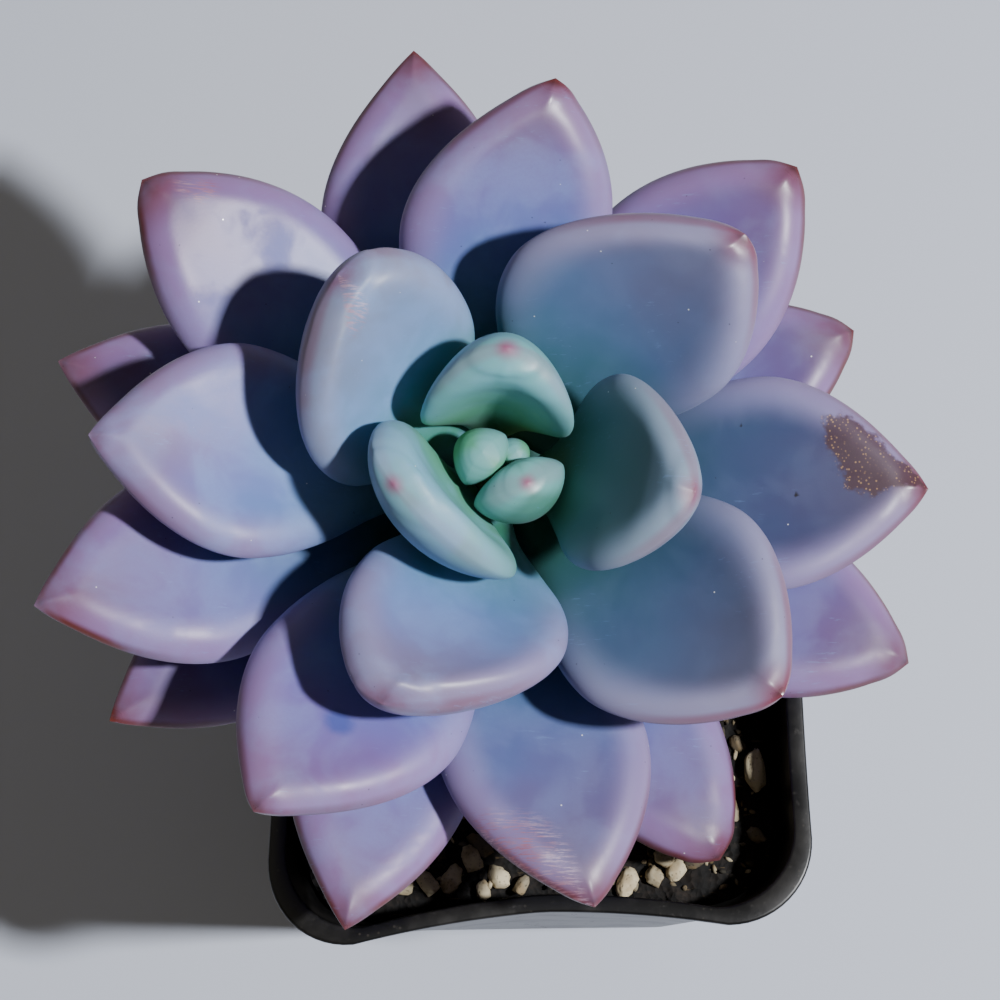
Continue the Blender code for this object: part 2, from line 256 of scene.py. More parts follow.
def screen(red, green, blue):
    """A colour as a screen shows it, from 0 to 255, turned into the light values that a shader takes."""
    return tuple(((c / 255 + 0.055) / 1.055) ** 2.4 if c > 10 else c / 255 / 12.92 for c in (red, green, blue)) + (1,)


def new_group(name, inputs, outputs):
    """An empty group, and the wires from its inputs. Each input is given with its kind; outputs are numbers."""
    group = bpy.data.node_groups.new(name, "ShaderNodeTree")
    for socket, kind in inputs.items():
        group.interface.new_socket(socket, in_out="INPUT", socket_type="NodeSocket" + kind)
    for socket in outputs:
        group.interface.new_socket(socket, in_out="OUTPUT", socket_type="NodeSocketFloat")
    start = group.nodes.new("NodeGroupInput")
    return group, [Wire(group, start.outputs[socket]) for socket in inputs]


def put_out(group, wires):
    """Links the wires to the group's outputs, in their order."""
    end = group.nodes.new("NodeGroupOutput")
    for wire, socket in zip(wires, end.inputs):
        group.links.new(wire.socket, socket)


def use_group(group, place, **inputs):
    """What a shared group puts out, by name."""
    made = add_node(place.tree, "ShaderNodeGroup", {"Place": place, **inputs}, node_tree=group)
    return {socket.name: Wire(place.tree, socket) for socket in made.outputs}


def new_finish(name):
    """A material, the wire of the point on the plant that is shaded, in metres, and the Principled shader."""
    finish = bpy.data.materials.new(name)
    finish.use_nodes = True
    tree = finish.node_tree
    return finish, Wire(tree, add_node(tree, "ShaderNodeTexCoord", {}).outputs["Object"]), tree.nodes["Principled BSDF"]


def stored(place, *names):
    """The numbers of those names that the mesh keeps for each of its points."""
    return [place.add("ShaderNodeAttribute", "Fac", {}, attribute_name=name) for name in names]


# %% [markdown]
# ## Helpers for modelling
#
# Edit mode works on what is selected. A new primitive is selected all over, and so are the loaded solids, so each
# step first deselects everything and then picks its faces or edges by where they are. The first piece is the table,
# a plain pale sheet. It isn't part of the plant.

# %% Helpers for modelling
TABLE_SIZE = 3.0
TABLE_COLOUR = (0.60, 0.64, 0.74, 1)


def deselect():
    bpy.ops.object.select_all(action="DESELECT")


def choose(thing):
    """Selects one object alone and makes it the active one."""
    deselect()
    thing.select_set(True)
    bpy.context.view_layer.objects.active = thing


def newest(name):
    """The primitive that was just added, with its place and turn moved into its mesh."""
    made = bpy.context.object
    made.name = name
    bpy.ops.object.transform_apply(location=True, rotation=True, scale=True)
    return made


def edit_only(thing):
    """Opens one object in edit mode with nothing in it selected."""
    choose(thing)
    bpy.ops.object.mode_set(mode="EDIT")
    bpy.ops.mesh.select_all(action="DESELECT")


def pick(thing, kind, test):
    """Selects, in edit mode, the verts, edges or faces that pass the test."""
    bpy.ops.mesh.select_mode(type=kind.upper())
    bpy.ops.mesh.select_all(action="DESELECT")
    mesh = bmesh.from_edit_mesh(thing.data)
    for element in {"vert": mesh.verts, "edge": mesh.edges, "face": mesh.faces}[kind]:
        if test(element):
            element.select_set(True)
    bmesh.update_edit_mesh(thing.data)


def leave_edit():
    bpy.ops.object.mode_set(mode="OBJECT")


def cut_cylinder(name, sides, cuts, **place):
    """A cylinder of unit length and radius, cut into rings, and still open in edit mode."""
    deselect()
    bpy.ops.mesh.primitive_cylinder_add(vertices=sides, radius=1, depth=1, **place)
    made = newest(name)
    edit_only(made)
    pick(made, "edge", lambda edge: edge.calc_length() > 0.5)
    bpy.ops.mesh.subdivide(number_cuts=cuts)
    return made


def climb(levels, half, z):
    """Extrudes the selected face through a list of half widths and heights, in millimetres, and leaves edit mode."""
    for new_half, new_z in levels:
        share = new_half / half
        bpy.ops.mesh.extrude_region_move(TRANSFORM_OT_translate={"value": (0, 0, (new_z - z) * MM)})
        bpy.ops.transform.resize(value=(share, share, 1), center_override=(0, 0, 0))
        half, z = new_half, new_z
    bpy.ops.mesh.select_all(action="SELECT")
    bpy.ops.mesh.normals_make_consistent(inside=False)
    leave_edit()


def apply_modifier(thing, kind, **settings):
    """Adds a modifier with its settings and applies it."""
    choose(thing)
    modifier = thing.modifiers.new(kind.lower(), kind)
    for name, value in settings.items():
        setattr(modifier, name, value)
    bpy.ops.object.modifier_apply(modifier=modifier.name)


def points_of(mesh):
    """A mesh's points as rows of x, y and z."""
    flat = np.empty(len(mesh.vertices) * 3, np.float32)
    mesh.vertices.foreach_get("co", flat)
    return flat.reshape(-1, 3).astype(float)


def move_points(mesh, points):
    mesh.vertices.foreach_set("co", np.asarray(points, np.float32).ravel())
    mesh.update()


def keep_number(mesh, name, values):
    """Stores one number for each point of the mesh, for its finish to read."""
    attribute = mesh.attributes.new(name, "FLOAT", "POINT")
    attribute.data.foreach_set("value", np.asarray(values, np.float32))


def settle(piece, finish, node):
    """Gives a piece its finish, makes it ride with the plant, and hides the solid that it stands for."""
    piece.data.materials.clear()
    piece.data.materials.append(finish)
    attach(piece, "root")
    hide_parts(node)


def make_table():
    deselect()
    bpy.ops.mesh.primitive_plane_add(size=TABLE_SIZE)
    table = newest("table")
    finish = bpy.data.materials.new("pale table")
    finish.use_nodes = True
    set_inputs(finish.node_tree.nodes["Principled BSDF"], {"Base Color": TABLE_COLOUR, "Roughness": 0.8})
    table.data.materials.append(finish)


make_table()

# %% [markdown]
# ## How the rosette grows
#
# Each new leaf of a rosette starts 137.5 degrees round the stem from the one before it. That angle never brings
# two leaves exactly over each other, so every leaf gets light. The first leaf in the list is the youngest. Each
# row says how its leaf departs from the rule and how it is shaped, and the numbers are the ones that the solids
# were made from, because the finer leaves have to lie exactly where the solids are.

# %% The leaves in numbers
APEX = Vector((-3.4, 16.6, 80)) * MM
LEAN = 12
LEAN_TOWARDS = -34
GOLDEN_ANGLE = 137.5
FIRST_TURN = 294
LEAF_STEP = 0.84 * MM
LEAF_START = 1.8 * MM
GAP = 0.3 * MM
STEM_RADIUS = 4.2 * MM
STEM_TIP_RADIUS = 1.6 * MM
STEM_TAPER = 12 * MM
SHOULDER = 4.6  # how far in from its margin, in millimetres, the upper face of a grown leaf gets flat
DOME_POWERS = (2.6, 0.7)
BELLY = 0.6
SWAY_POWER = 4

Leaf = namedtuple("Leaf", "turn rise length width thickness curl cup roll sway youth")
LEAVES = (
    Leaf(-5, 89, 10, 10.4, 5.4, 14, 0.8, 6, 0, 1),
    Leaf(31, 77, 20, 16, 6, 10, 4.4, -18, 0, 1),
    Leaf(12, 60, 20, 20.6, 6, 24, 2, -3, -5, 1),
    Leaf(0, 60, 26, 21, 6.4, 6, 3.2, 6, -2, 0.5),
    Leaf(27, 44, 29, 24, 7, 14, 2, -11, -5, 0.8),
    Leaf(-8, 32, 31, 24, 7, 20, 3, -2, -6, 0.6),
    Leaf(16, 47, 36, 26, 7, 12, 4, 4, -6, 0.3),
    Leaf(3, 18, 42, 23, 7, 16, 2, 0, 0, 0),
    Leaf(4, 29, 38, 26, 7, 16, 4, 8, 0, 0.25),
    Leaf(0, 30, 40, 23, 7, 14, 1, 0, -5, 0.2),
    Leaf(11, 19, 44, 24, 6.8, 12, 0.8, 0, -4, 0.1),
    Leaf(-9, 17, 44, 24, 6.8, 12, 3, 0, 0, 0.1),
    Leaf(-1, 15, 46, 22, 6.6, 10, 0.6, 0, 0, 0.3),
    Leaf(-2, 14, 45, 23, 6.6, 10, 0.8, 0, 2, 0.1),
    Leaf(-13, 20, 45, 23, 6.6, 8, 0.6, 0, 0, 0.3),
    Leaf(2, 15, 49, 22, 6.4, 8, 0.4, 0, 0, 0),
    Leaf(3, 9, 47, 21, 6.4, 6, 0.4, 0, 0, 0.3),
    Leaf(-5, 12, 45, 22, 6.2, 6, 0.4, 0, -5, 0),
    Leaf(0, 10, 48, 21, 6, 4, 0.4, 0, 3, 0),
    Leaf(-3, 12, 42, 19, 6, 4, 0.4, 0, 0, 0.3),
    Leaf(2, 10, 45, 19, 5.8, 2, 0.3, 0, 0, 0),
    Leaf(1, 7, 45, 19, 5.6, 2, 0.3, 0, 0, 0.6),
    Leaf(-2, 6, 38, 17, 5.4, 0, 0.3, 0, 0, 0),
    Leaf(-3, 9, 45, 17, 5.4, 0, 0.3, 0, 0, 0),
)
BUD_LEAVES = (
    Leaf(24, 84, 7.5, 6.8, 4.8, 10, 0.6, -40, 0, 1),
    Leaf(0, 90, 5, 3.8, 2.8, 10, 0.2, 10, 0, 1),
    Leaf(-8, 86, 2.6, 2.2, 1.5, 20, 0.2, 0, 0, 1),
)
BUD_ROOTS = ((1.5 * MM, 1.5 * MM), (0.9 * MM, 0), (0.6 * MM, 0))
print("leaves:", len(LEAVES), "and in the bud:", len(BUD_LEAVES))

# %% [markdown]
# Each root stands on the stem a step lower than the one before it, and the whole rosette leans out of the pot.

# %% Where a leaf stands
def rosette_frame():
    """Carries the rosette's own frame, which leans out of the pot, to the pot's."""
    towards = math.radians(LEAN_TOWARDS)
    hinge = Vector((-math.sin(towards), math.cos(towards), 0))
    return Matrix.Translation(APEX) @ Matrix.Rotation(math.radians(LEAN), 4, hinge)


def stem_radius(depth):
    share = min(depth / STEM_TAPER, 1)
    return STEM_TIP_RADIUS + (STEM_RADIUS - STEM_TIP_RADIUS) * math.sin(share * math.pi / 2)


def leaf_place(number, leaf, depth, radius):
    """Where a leaf's root stands on a stem of that radius, and which way it grows."""
    turn = FIRST_TURN + GOLDEN_ANGLE * (number - 1) + leaf.turn
    start = math.radians(leaf.rise - leaf.curl / 2)
    root = radius + leaf.thickness * MM * ROOT_BELLY * math.sin(start)
    return (
        rosette_frame()
        @ Matrix.Rotation(math.radians(turn), 4, "Z")
        @ Matrix.Translation((root, 0, -depth))
        @ Matrix.Rotation(-start, 4, "Y")
        @ Matrix.Rotation(math.radians(leaf.roll), 4, "X")
    )


# %% [markdown]
# ## One blank for all leaves
#
# By hand, a leaf would be drawn as a row of rings, each a little wider or narrower than the last, and pulled to a
# point. The blank is that row before it gets a shape: a cylinder that is cut into rings, with its far end merged to
# one point. Every leaf is a copy of it, and each point keeps three numbers: how far along the leaf it is, how far
# across, and how far above or below the margins. The finish reads two of them too.

# %% The leaf blank
LEAF_RINGS = 54
LEAF_SIDES = 56
TIP_CROWDING = 1.5  # above 1, the rings stand closer together towards the tip


def make_blank():
    along_x = {"location": (0.5, 0, 0), "rotation": (0, math.pi / 2, 0)}
    blank = cut_cylinder("leaf_blank", LEAF_SIDES, LEAF_RINGS, end_fill_type="NGON", **along_x)
    pick(blank, "vert", lambda vert: vert.co.x > 0.999)
    bpy.ops.mesh.merge(type="CENTER")
    leave_edit()
    x, y, z = points_of(blank.data).T
    keep_number(blank.data, "along", 1 - (1 - x) ** TIP_CROWDING)
    keep_number(blank.data, "across", y)
    keep_number(blank.data, "upper", z)
    print("leaf blank:", len(blank.data.vertices), "points")
    return blank


leaf_blank = make_blank()

# %% [markdown]
# ## From the blank to a leaf
#
# A leaf's section changes all the way along it: narrow and round at the root, broad with a flat upper face and
# rolled margins in the middle, then drawn in to the tip. A table gives widths and thicknesses at eleven stations,
# and a smooth curve runs through them. Operators can't do that as exactly as a formula, and the leaves have to meet
# the solids within a fraction of a millimetre, so the points are placed by a formula here.

# %% The shape of a leaf
Station = namedtuple("Station", "along grown young upper lower plump")
STATIONS = (
    Station(0.00, 0.24, 0.28, 0.17, 0.20, 1.0),
    Station(0.10, 0.31, 0.43, 0.20, 0.26, 1.0),
    Station(0.22, 0.50, 0.70, 0.26, 0.36, 1.0),
    Station(0.36, 0.78, 0.93, 0.33, 0.50, 1.0),
    Station(0.50, 0.96, 1.00, 0.38, 0.59, 1.0),
    Station(0.62, 1.00, 0.99, 0.40, 0.61, 1.1),
    Station(0.74, 0.87, 0.92, 0.39, 0.57, 1.25),
    Station(0.85, 0.60, 0.76, 0.35, 0.48, 1.5),
    Station(0.93, 0.31, 0.54, 0.26, 0.34, 1.8),
    Station(0.98, 0.10, 0.28, 0.13, 0.16, 2.2),
    Station(1.00, 0.00, 0.00, 0.00, 0.00, 2.2),
)
ROOT_BELLY = STATIONS[0].lower
ROLL_HEIGHT = 0.02  # of the swelling inside the margin, in millimetres
ROLL_PLACE = 2.9
ROLL_WIDTH = 1.3
SPINE_HEIGHT = 0.22  # of the short ridge that runs into the tip
SPINE_LENGTH = 5.0
SPINE_WIDTH = 0.55
SPINE_FROM = 9  # a shorter leaf has none
SPINE_NIB = 0.8  # over this length it dies out at the tip
ROLL_START, ROLL_RAMP, ROLL_END_RAMP = 0.3, 0.25, 0.12  # shares of the leaf's length


def through_stations(column, along):
    """A smooth curve through one column of the table."""
    places = np.array([station.along for station in STATIONS])
    values = np.array([getattr(station, column) for station in STATIONS])
    slopes = np.gradient(values, places)
    i = np.clip(np.searchsorted(places, along) - 1, 0, len(places) - 2)
    step = places[i + 1] - places[i]
    u = (along - places[i]) / step
    curve = values[i] * (1 + 2 * u) * (1 - u) ** 2 + values[i + 1] * u * u * (3 - 2 * u)
    return np.maximum(curve + step * u * (1 - u) * (slopes[i] * (1 - u) - slopes[i + 1] * u), 0)


def leaf_points(leaf, along, across, upper):
    """The points of a leaf in its own frame, in metres, and each one's distance in from the margin."""
    grown, young = through_stations("grown", along), through_stations("young", along)
    half = leaf.width / 2 * (grown + (young - grown) * leaf.youth)
    x, y = leaf.length * along, across * half
    margin = (1 - np.abs(across)) * half
    shoulder = np.minimum(SHOULDER, np.maximum(half, 0.01) + (1 - leaf.youth) * SHOULDER)
    inward = np.clip(margin / shoulder, 0, 1)
    plump = 1 + (through_stations("plump", along) - 1) * leaf.youth
    rounding, lift = DOME_POWERS
    dome = leaf.thickness * plump * through_stations("upper", along) * (1 - (1 - inward) ** rounding) ** lift
    belly = leaf.thickness * through_stations("lower", along) * (1 - across**2) ** BELLY
    broad = np.clip((along - ROLL_START) / ROLL_RAMP, 0, 1) * np.clip((1 - along) / ROLL_END_RAMP, 0, 1)
    dome += broad * ROLL_HEIGHT * np.exp(-(((margin - ROLL_PLACE) / ROLL_WIDTH) ** 2))
    to_tip = leaf.length * (1 - along)
    ridge = np.clip(1 - to_tip / SPINE_LENGTH, 0, 1) ** 2 * np.clip(to_tip / SPINE_NIB, 0, 1)
    dome += SPINE_HEIGHT * ridge * np.exp(-((y / SPINE_WIDTH) ** 2)) * (leaf.length > SPINE_FROM)
    z = np.where(upper > 0, dome, -belly) + leaf.cup * (y / (leaf.width / 2)) ** 2
    y = y + leaf.sway * along**SWAY_POWER
    curl = math.radians(leaf.curl)
    if curl:
        radius = leaf.length / curl
        x, z = (radius - z) * np.sin(x / radius), radius - (radius - z) * np.cos(x / radius)
    return np.stack([x, y, z], axis=1) * MM, margin


# %% [markdown]
# ## Growing the leaves
#
# Each leaf is a copy of the blank with a mesh of its own. Its points are carried to the leaf's shape and then to
# its place on the stem, and the mesh keeps more numbers for the finish: the distance in from the margin and back
# from the tip, in millimetres, how green, how red-tipped and how waxy the leaf is, and its tone, which is painted
# light and shade on its face. A few leaves carry marks: a brown scurfy patch, black nicks, a bruise under the skin,
# and places where the wax was rubbed off.

# %% The leaves
# The tone is painted light and shade: under 1 it darkens the face of a leaf that turns away from the key light, and
# over 1 it brightens the face of a leaf as painted light.
Tint = namedtuple("Tint", "green blush wax tone")
TINTS = (
    Tint(1.15, 0.20, 0.0, 0.66),
    Tint(1.02, 0.30, 0.4, 1.15),
    Tint(0.86, 0.25, 0.9, 1.32),
    Tint(0.54, 0.45, 0.1, 0.74),
    Tint(0.38, 0.50, 1.0, 1.28),
    Tint(0.20, 0.60, 0.8, 1.12),
    Tint(0.26, 0.70, 0.2, 0.78),
    Tint(0.10, 0.45, 1.0, 1.14),
    Tint(0.28, 0.80, 0.1, 0.52),
    Tint(0.05, 0.80, 0.7, 0.92),
    Tint(0.00, 0.70, 0.6, 0.98),
    Tint(0.16, 0.80, 0.1, 0.40),
    Tint(0.00, 1.20, 0.5, 0.86),
    Tint(0.10, 1.10, 0.3, 0.68),
    Tint(0.00, 1.10, 0.3, 0.76),
    Tint(0.00, 1.30, 0.6, 0.88),
    Tint(0.00, 1.20, 0.3, 0.74),
    Tint(0.00, 1.20, 0.4, 0.84),
    Tint(0.00, 1.20, 0.6, 0.88),
    Tint(0.00, 1.40, 0.3, 0.66),
    Tint(0.00, 1.20, 0.4, 0.76),
    Tint(0.00, 1.20, 0.4, 0.78),
    Tint(0.00, 1.10, 0.4, 0.90),
    Tint(0.00, 1.20, 0.4, 0.78),
)
Mark = namedtuple("Mark", "leaf kind along across radius")
MARKS = (
    Mark(12, "scurf", 0.89, 0.34, 5.8),
    Mark(12, "scurf", 0.81, 0.55, 3.8),
    Mark(12, "nick", 0.53, 0.56, 0.5),
    Mark(12, "nick", 0.68, -0.08, 0.6),
    Mark(11, "bruise", 0.71, 0.00, 1.8),
    Mark(14, "scuff", 0.88, -0.80, 7.5),
    Mark(5, "scuff", 0.95, 0.10, 3.4),
    Mark(13, "scuff", 0.90, -0.50, 3.0),
    Mark(10, "nick", 0.62, -0.30, 0.4),
)
MARK_KINDS = ("scurf", "nick", "bruise", "scuff")
NO_MARK = -3.0
HALF_WIDTH_THERE = 0.4  # where most marks lie, as a share of the leaf's full width


def nearness(leaf, number, kind, along, across):
    """How near each point is to the leaf's marks of that kind: 1 in a mark's middle, 0 at its radius."""
    near = np.full(len(along), NO_MARK)
    for mark in MARKS:
        if mark.leaf == number and mark.kind == kind:
            x, y = (along - mark.along) * leaf.length, (across - mark.across) * leaf.width * HALF_WIDTH_THERE
            near = np.maximum(near, 1 - np.hypot(x, y) / mark.radius)
    return near


def number_of(mesh, name):
    """One stored number for each point of a mesh."""
    values = np.empty(len(mesh.vertices), np.float32)
    mesh.attributes[name].data.foreach_get("value", values)
    return values.astype(float)


def grow_leaf(name, leaf, place, tint, number=0):
    """A copy of the blank, shaped and set in its place on the stem."""
    piece = bpy.data.objects.new(name, leaf_blank.data.copy())
    bpy.context.scene.collection.objects.link(piece)
    mesh = piece.data
    mesh.name = name
    along, across, upper = (number_of(mesh, key) for key in ("along", "across", "upper"))
    points, margin = leaf_points(leaf, along, across, upper)
    turn = np.array(place)
    move_points(mesh, points @ turn[:3, :3].T + turn[:3, 3])
    keep_number(mesh, "margin", margin)
    keep_number(mesh, "inner", margin / (leaf.width / 2))
    keep_number(mesh, "to_tip", np.linalg.norm(points - points[np.argmax(along)], axis=1) / MM)
    for key, value in tint._asdict().items():
        keep_number(mesh, key, np.full(len(mesh.vertices), value))
    for kind in MARK_KINDS:
        near = nearness(leaf, number, kind, along, across)
        keep_number(mesh, kind, np.where(upper > 0, near, np.minimum(near, 0.0)))
    mesh.shade_smooth()
    return piece


def off_by(piece, node):
    """The largest distance from the solid's corners to the finer piece, in millimetres."""
    graph = bpy.context.evaluated_depsgraph_get()
    tree = BVHTree.FromObject(piece, graph)
    return max(tree.find_nearest(corner.co)[3] for corner in frame["nodes"][node].data.vertices) / MM


leaves = []
for number, (leaf, tint) in enumerate(zip(LEAVES, TINTS), start=1):
    depth = LEAF_START + LEAF_STEP * number
    place = leaf_place(number, leaf, depth, stem_radius(depth) + GAP)
    leaves.append(grow_leaf(f"waxy_leaf_{number:02d}", leaf, place, tint, number))
bpy.context.view_layer.update()
print("leaves:", len(leaves), "furthest from their solids, in mm:",
      round(max(off_by(leaf, f"leaf_{n:02d}") for n, leaf in enumerate(leaves, start=1)), 2))

# %% [markdown]
# ## The heart
#
# In the middle, three small leaves stand on the growing tip. They are copies of the same blank at a few millimetres
# long, set round a small dome, and the four are joined by a Boolean union, so that no leaf runs on inside another.
# A union mixes up the numbers that the points keep, so each point of the heart then takes them afresh from the
# nearest point of the pieces it was joined from.

# %% The heart
BUD_DOME = ((1.8, 2.1), (1.1, 1.9), (0.4, 1.1), (0, 0.01))  # depth below the tip and radius, in millimetres
DOME_SIDES = 24
BUD_TINT = Tint(1.3, 0.0, 0.1, 1.1)
DOME_NUMBERS = {"along": 0.2, "across": 0, "upper": 1, "margin": 2, "inner": 0.5, "to_tip": 5, **BUD_TINT._asdict()}
DOME_NUMBERS.update(dict.fromkeys(MARK_KINDS, NO_MARK))


def make_dome():
    """The growing tip: a disc that is extruded and narrowed step by step, and closed at a point."""
    deselect()
    depth, radius = BUD_DOME[0]
    bpy.ops.mesh.primitive_circle_add(
        vertices=DOME_SIDES, radius=radius * MM, fill_type="NGON", location=(0, 0, -depth * MM)
    )
    dome = newest("waxy_heart")
    edit_only(dome)
    pick(dome, "face", lambda face: True)
    climb([(new_radius, -new_depth) for new_depth, new_radius in BUD_DOME[1:]], radius, -depth)
    dome.data.transform(rosette_frame())
    for key, value in DOME_NUMBERS.items():
        keep_number(dome.data, key, np.full(len(dome.data.vertices), value))
    return dome


def copy_numbers(piece, sources):
    """Gives each point of the piece the numbers that the nearest point of its sources had."""
    points = np.concatenate([source["points"] for source in sources])
    tree = KDTree(len(points))
    for i, point in enumerate(points):
        tree.insert(point, i)
    tree.balance()
    nearest = [tree.find(point)[1] for point in points_of(piece.data)]
    for key in DOME_NUMBERS:
        values = np.concatenate([source[key] for source in sources])[nearest]
        piece.data.attributes[key].data.foreach_set("value", values.astype(np.float32))


def numbers_of(piece):
    return {"points": points_of(piece.data), **{key: number_of(piece.data, key) for key in DOME_NUMBERS}}


def make_heart():
    bud = make_dome()
    sources = [numbers_of(bud)]
    for age, leaf in enumerate(BUD_LEAVES):
        place = leaf_place(-age, leaf, *BUD_ROOTS[age])
        young = grow_leaf("young_leaf", leaf, place, BUD_TINT)
        sources.append(numbers_of(young))
        apply_modifier(bud, "BOOLEAN", operation="UNION", object=young, solver="EXACT")
        bpy.data.objects.remove(young)
    copy_numbers(bud, sources)
    bud.data.shade_smooth()
    print("heart:", len(bud.data.vertices), "points")
    return bud


heart = make_heart()

# %% [markdown]
# ## Wax
#
# The skin of these leaves is covered with a powdery wax. It lies in soft patches, is smeared in fine pale lines
# where leaves have touched, and carries tiny dark specks and a few white glints. It is kept apart from the skin as
# a group of its own: it reads a place on the plant and puts out masks and a height, and the finish decides what to
# do with them.

# %% The wax group
WAX_MASKS = ("Patches", "Scratches", "Streaks", "Specks", "Glints", "Height")


def make_wax_group():
    group, (place,) = new_group("powdery wax", {"Place": "Vector"}, WAX_MASKS)
    soft = cloud(place, 7, detail=3, roughness=0.55, distortion=0.4)
    fine = cloud(place, 0.35, detail=3, roughness=0.7)
    patches = between(soft, 0.35, 0.68) * between(fine, 0.25, 0.7, 0.75, 1.0)
    lines = cloud(stretch(place, (1, 9, 3), (0.3, 0.2, 0.9)), 3.0, detail=4, roughness=0.7)
    scratches = between(lines, 0.60, 0.66) * between(cloud(place, 9, detail=1), 0.56, 0.66)
    thin_lines = cloud(stretch(place, (1, 12, 3), (0.1, 0.1, -0.5)), 2.4, detail=4, roughness=0.75)
    streaks = between(thin_lines, 0.47, 0.6)
    rare = between(cells(place, 1.7, output="Color"), 0.62, 0.64)
    specks = between(cells(place, 1.7), 0.03, 0.065, 1.0, 0.0) * rare
    glints = between(cells(place, 3.4), 0.018, 0.03, 1.0, 0.0)
    put_out(group, (patches, scratches, streaks, specks, glints, fine * 0.6 - specks))
    return group


wax_group = make_wax_group()

# %% [markdown]
# ## The leaf skin
#
# The colour runs along the leaf, from green at the root through blue to lilac, and ends in a brick-red tip. The green
# at the root is partly the leaf's own and partly painted: painted shade from the leaves above, and a painted glow of
# light that shines through the bases. The colour also runs in from the margin, which is paler and pinker than the
# face. Each leaf's tone darkens or brightens its face but not its margin, which is painted shade on faces that turn
# from the light and painted light on the raised margins. One ramp gives the colours of a grown leaf and another those
# of a young one, and the numbers stored in the mesh choose between them. The wax lies over them as a thin pale veil.
# Near the tip the wax is thin, so the skin shines a little more there.

# %% The leaf finish
# The root stops of both ramps are partly the leaf's own green and partly painted: darker as painted shade under the
# leaves above, and more saturated as a painted glow of light that shines through the bases.
OLD_LEAF = (
    (0.00, screen(28, 84, 44)),
    (0.24, screen(56, 114, 128)),
    (0.52, screen(90, 110, 186)),
    (0.76, screen(116, 94, 160)),
    (0.95, screen(108, 72, 112)),
)
YOUNG_LEAF = (
    (0.00, screen(38, 104, 24)),
    (0.22, screen(66, 134, 72)),
    (0.50, screen(84, 150, 122)),
    (0.80, screen(92, 158, 154)),
    (0.97, screen(98, 156, 170)),
)
UNDERSIDE = screen(100, 98, 142)
MARGIN_PINK = screen(150, 118, 164)
MARGIN_GREEN = screen(110, 166, 170)
BRICK = screen(100, 44, 40)
ROSE = screen(152, 72, 108)
WAX = screen(128, 164, 222)
MARGIN_SHARE = 0.5  # of the half width
SPECK = screen(30, 26, 36)
BRUISE = screen(58, 74, 150)
NIB = screen(70, 34, 34)
SCURF = screen(72, 48, 52)
SCURF_GOLD = screen(172, 136, 92)
SCUFF_ROSE = screen(150, 84, 96)
SCUFF_PALE = screen(196, 180, 206)


